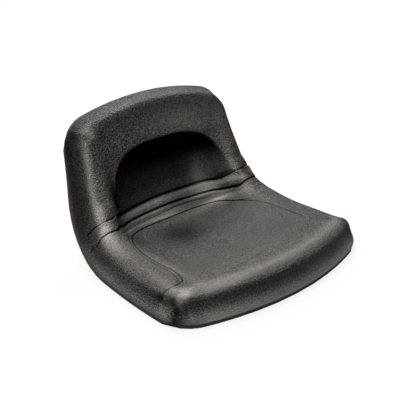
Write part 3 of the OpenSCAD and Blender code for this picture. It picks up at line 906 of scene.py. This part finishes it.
# %% Small helpers for node groups
def new_group(name, inputs, outputs):
    group = bpy.data.node_groups.new(name, "ShaderNodeTree")
    for label, value in inputs.items():
        group.interface.new_socket(label, in_out="INPUT", socket_type="NodeSocketFloat").default_value = value
    for label in outputs:
        group.interface.new_socket(label, in_out="OUTPUT", socket_type="NodeSocketFloat")
    return group, group.nodes.new("NodeGroupInput"), group.nodes.new("NodeGroupOutput")


def math_node(tree, kind, a, b):
    """A math node whose two inputs are sockets or plain numbers."""
    node = tree.nodes.new("ShaderNodeMath")
    node.operation = kind
    for socket, value in zip(node.inputs, (a, b)):
        if isinstance(value, (int, float)):
            socket.default_value = value
        else:
            tree.links.new(value, socket)
    return node.outputs[0]


def ramp(tree, source, low, high, out_low, out_high):
    node = tree.nodes.new("ShaderNodeMapRange")
    tree.links.new(source, node.inputs[0])
    for socket, value in zip(node.inputs[1:5], (low, high, out_low, out_high)):
        socket.default_value = value
    return node.outputs[0]


# %% Moulded grain
def grain_group():
    """Leather grain: round pebbles parted by fine valleys, in Object coordinates."""
    group, given, out = new_group("moulded_grain", {"Pebbles per metre": 700.0},
                                  ["Height", "Patches", "Mottle"])
    where = group.nodes.new("ShaderNodeTexCoord").outputs["Object"]
    pebbles = group.nodes.new("ShaderNodeTexVoronoi")
    pebbles.feature = "SMOOTH_F1"
    pebbles.inputs["Smoothness"].default_value = 0.35
    cloudy = group.nodes.new("ShaderNodeTexNoise")
    cloudy.inputs["Scale"].default_value = 22.0
    cloudy.inputs["Detail"].default_value = 4.0
    fine = group.nodes.new("ShaderNodeTexNoise")
    fine.inputs["Detail"].default_value = 3.0
    for node in (pebbles, cloudy, fine):
        group.links.new(where, node.inputs["Vector"])
    group.links.new(given.outputs[0], pebbles.inputs["Scale"])
    group.links.new(math_node(group, "MULTIPLY", given.outputs[0], 1.7), fine.inputs["Scale"])
    dome = ramp(group, pebbles.outputs["Distance"], 0.0, 0.8, 1.0, 0.0)
    height = math_node(group, "ADD", math_node(group, "MULTIPLY", dome, 0.7),
                       math_node(group, "MULTIPLY", fine.outputs["Fac"], 0.5))
    mottle = group.nodes.new("ShaderNodeTexNoise")
    mottle.inputs["Detail"].default_value = 1.0
    group.links.new(where, mottle.inputs["Vector"])
    group.links.new(math_node(group, "MULTIPLY", given.outputs[0], 0.55), mottle.inputs["Scale"])
    coarse = math_node(group, "MULTIPLY", mottle.outputs["Fac"], 5.5)
    group.links.new(math_node(group, "ADD", height, coarse), out.inputs["Height"])
    group.links.new(cloudy.outputs["Fac"], out.inputs["Patches"])
    group.links.new(mottle.outputs["Fac"], out.inputs["Mottle"])
    return group


GRAIN = grain_group()


# %% [markdown]
# ## Materials
#
# Every finish starts from one Principled shader. What is the same all over, such as the base
# roughness of the steel, is typed into the shader's own socket. What changes, such as the grain,
# comes through links.

# %% A material with its grain
def new_material(name):
    material = bpy.data.materials.new(name)
    material.use_nodes = True
    shader = material.node_tree.nodes["Principled BSDF"]
    return material, material.node_tree, shader


def add_grain(tree, shader, per_metre, depth):
    grain = tree.nodes.new("ShaderNodeGroup")
    grain.node_tree = GRAIN
    grain.inputs[0].default_value = per_metre
    bump = tree.nodes.new("ShaderNodeBump")
    bump.inputs["Distance"].default_value = depth
    bump.inputs["Strength"].default_value = 1.0
    tree.links.new(grain.outputs["Height"], bump.inputs["Height"])
    tree.links.new(bump.outputs["Normal"], shader.inputs["Normal"])
    return grain


def shade_between(tree, mask, dark, light):
    """A colour between two, by a mask that may run past 1."""
    blend = tree.nodes.new("ShaderNodeMix")
    blend.data_type = "RGBA"
    blend.clamp_factor = False
    tree.links.new(mask, blend.inputs["Factor"])
    blend.inputs["A"].default_value = (*dark, 1)
    blend.inputs["B"].default_value = (*light, 1)
    return blend.outputs["Result"]


# %% Black vinyl
def mark(tree, label):
    node = tree.nodes.new("ShaderNodeAttribute")
    node.attribute_name = label
    return node.outputs["Fac"]


def vinyl():
    material, tree, shader = new_material("black_vinyl")
    grain = add_grain(tree, shader, 620.0, 0.0006)
    # The first colour is the near-black of painted shade, the second the vinyl's own black, the third the grey of
    # painted highlight.
    deep, black, highlight_grey = (0.002, 0.002, 0.002), (0.036, 0.0335, 0.031), (0.27, 0.255, 0.235)
    # Outside the painted shade the vinyl's own black shows, speckled by its grain.
    outside_painted_shade = ramp(tree, mark(tree, "painted_shade"), 0.0, 1.0, 1.0, 0.0)
    speckle = ramp(tree, grain.outputs["Mottle"], 0.4, 0.6, 0.0, 2.0)
    faint = ramp(tree, grain.outputs["Mottle"], 0.35, 0.65, 0.88, 1.1)
    lit = math_node(tree, "MULTIPLY", outside_painted_shade, speckle)
    base = shade_between(tree, lit, deep, black)
    # The painted highlight adds its grey on top, a little varied by the grain.
    highlight_mask = math_node(tree, "MULTIPLY", mark(tree, "painted_highlight"), faint)
    highlight_colour = shade_between(tree, highlight_mask, (0, 0, 0), highlight_grey)
    tint = tree.nodes.new("ShaderNodeMix")
    tint.data_type = "RGBA"
    tint.blend_type = "ADD"
    tint.inputs["Factor"].default_value = 1.0
    tree.links.new(base, tint.inputs["A"])
    tree.links.new(highlight_colour, tint.inputs["B"])
    tree.links.new(tint.outputs["Result"], shader.inputs["Base Color"])
    rough = ramp(tree, grain.outputs["Patches"], 0.3, 0.7, 0.40, 0.50)
    # Under the painted shade the skin turns rougher and metallic, and with its near-black base this takes its gloss
    # away, so the painted shade reaches the gloss too.
    hidden = math_node(tree, "MULTIPLY", mark(tree, "painted_shade"), 0.45)
    tree.links.new(math_node(tree, "ADD", rough, hidden), shader.inputs["Roughness"])
    no_gloss = math_node(tree, "MULTIPLY", mark(tree, "painted_shade"), 0.95)
    tree.links.new(no_gloss, shader.inputs["Metallic"])
    shader.inputs["Specular IOR Level"].default_value = 0.5
    shader.inputs["Specular Tint"].default_value = (1.0, 0.955, 0.91, 1)
    return material


cover.data.materials.append(vinyl())


# %% Foam
def foam_finish():
    material, tree, shader = new_material("open_cell_foam")
    grain = add_grain(tree, shader, 900.0, 0.0006)
    colour = shade_between(tree, grain.outputs["Mottle"], (0.50, 0.43, 0.26), (0.85, 0.78, 0.57))
    tree.links.new(colour, shader.inputs["Base Color"])
    shader.inputs["Roughness"].default_value = 0.9
    return material


foam.data.materials.append(foam_finish())


# %% Steel, plastic and zinc on the construction's own nodes
def plain_finish(name, dark, light, rough, metallic, per_metre, depth):
    material, tree, shader = new_material(name)
    grain = add_grain(tree, shader, per_metre, depth)
    tree.links.new(shade_between(tree, grain.outputs["Patches"], dark, light), shader.inputs["Base Color"])
    tree.links.new(ramp(tree, grain.outputs["Patches"], 0.3, 0.7, rough[0], rough[1]),
                   shader.inputs["Roughness"])
    shader.inputs["Metallic"].default_value = metallic
    return material


def dress(node, material):
    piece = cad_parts[node]
    piece.data.materials.clear()
    piece.data.materials.append(material)


dress("seat_pan", plain_finish("satin_black_paint", (0.022, 0.022, 0.022), (0.036, 0.036, 0.035),
                               (0.5, 0.62), 0.0, 260.0, 0.00012))
trim.data.materials.clear()
trim.data.materials.append(plain_finish("extruded_plastic", (0.03, 0.029, 0.027), (0.055, 0.052, 0.048),
                                        (0.38, 0.5), 0.0, 900.0, 0.00005))
dress("mounting_nuts", plain_finish("zinc_plate", (0.50, 0.50, 0.46), (0.68, 0.68, 0.66),
                                    (0.28, 0.42), 1.0, 400.0, 0.00004))

# %% [markdown]
# ## Floor, backdrop and light
#
# The seat stands on a white floor under seven soft lamps round it, most of them high. That is how such parts are
# photographed: the light skims over every roll and leaves the recess dim, and painted shade on the skin makes it
# black.

# %% Floor and world
bpy.ops.mesh.primitive_plane_add(size=12, location=(0, 0, -0.0003))
floor = bpy.context.object
floor.name = "studio_floor"
floor_paint, floor_tree, floor_shader = new_material("floor_paint")
floor_shader.inputs["Roughness"].default_value = 0.9
floor_shader.inputs["Specular IOR Level"].default_value = 0.0
floor_shader.inputs["Emission Color"].default_value = (1, 1, 1, 1)
seen = floor_tree.nodes.new("ShaderNodeLightPath").outputs["Is Camera Ray"]
floor_tree.links.new(shade_between(floor_tree, seen, (0.3, 0.3, 0.3), (0.11, 0.11, 0.11)),
                     floor_shader.inputs["Base Color"])
floor_place = floor_tree.nodes.new("ShaderNodeTexCoord").outputs["Object"]
far_off = floor_tree.nodes.new("ShaderNodeVectorMath")
far_off.operation = "LENGTH"
floor_tree.links.new(floor_place, far_off.inputs[0])
glow = ramp(floor_tree, far_off.outputs["Value"], 0.35, 1.2, 0.84, 1.0)
floor_tree.links.new(math_node(floor_tree, "MULTIPLY", seen, glow), floor_shader.inputs["Emission Strength"])
from_below = floor_tree.nodes.new("ShaderNodeNewGeometry").outputs["Backfacing"]
floor_tree.links.new(math_node(floor_tree, "SUBTRACT", 1.0, from_below), floor_shader.inputs["Alpha"])
floor.data.materials.append(floor_paint)

world = bpy.data.worlds.new("studio")
bpy.context.scene.world = world
world.use_nodes = True
sky = world.node_tree.nodes["Background"]
sky.inputs["Color"].default_value = (1, 1, 1, 1)
path = world.node_tree.nodes.new("ShaderNodeLightPath")
AMBIENT = 0.01
sky_level = ramp(world.node_tree, path.outputs["Is Camera Ray"], 0, 1, AMBIENT, 1.0)
world.node_tree.links.new(sky_level, sky.inputs["Strength"])


# %% Lamps on a dome round the seat
DOME_R = 2.0
DOME_MID = Vector((0, 0.05, 0.12))


def soft_light(name, around, up, size, power):
    """A square soft light: around is counted from the front to the right, in degrees."""
    lamp = bpy.data.lights.new(name, "AREA")
    lamp.size = size
    lamp.energy = power
    holder = bpy.data.objects.new(name, lamp)
    bpy.context.scene.collection.objects.link(holder)
    a, e = np.radians(around), np.radians(up)
    away = Vector((np.sin(a) * np.cos(e), -np.cos(a) * np.cos(e), np.sin(e)))
    holder.location = DOME_MID + DOME_R * away
    holder.rotation_euler = away.to_track_quat("Z", "Y").to_euler()
    return holder


soft_light("left_light", 270, 65, 0.8, 26.4)
soft_light("back_right_light", 135, 40, 0.8, 18.8)
soft_light("high_back_right_light", 135, 62, 0.8, 10.9)
soft_light("ceiling_light", 180, 80, 0.8, 13.7)
soft_light("back_light", 180, 40, 0.8, 9.0)
soft_light("high_front_light", 315, 65, 0.5, 6.8)
soft_light("low_front_light", 340, 30, 0.5, 5.3)

# %% [markdown]
# ## The camera
#
# The picture was taken from the front left, a little above the seat. The lens and place below
# come from fitting the seat's outline, so the same edges fall on the same places.

# %% Camera
camera_data = bpy.data.cameras.new("front_left_camera")
camera_data.sensor_width = 36
camera_data.lens = 69.2047
camera_data.clip_start, camera_data.clip_end = 0.05, 50
camera = bpy.data.objects.new("front_left_camera", camera_data)
bpy.context.scene.collection.objects.link(camera)
camera.location = (-0.9860, -0.9944, 0.7489)
camera.rotation_euler = tuple(np.radians((65.887, 0.579, -42.85)))
bpy.context.scene.camera = camera
bpy.context.scene.view_settings.view_transform = "Standard"
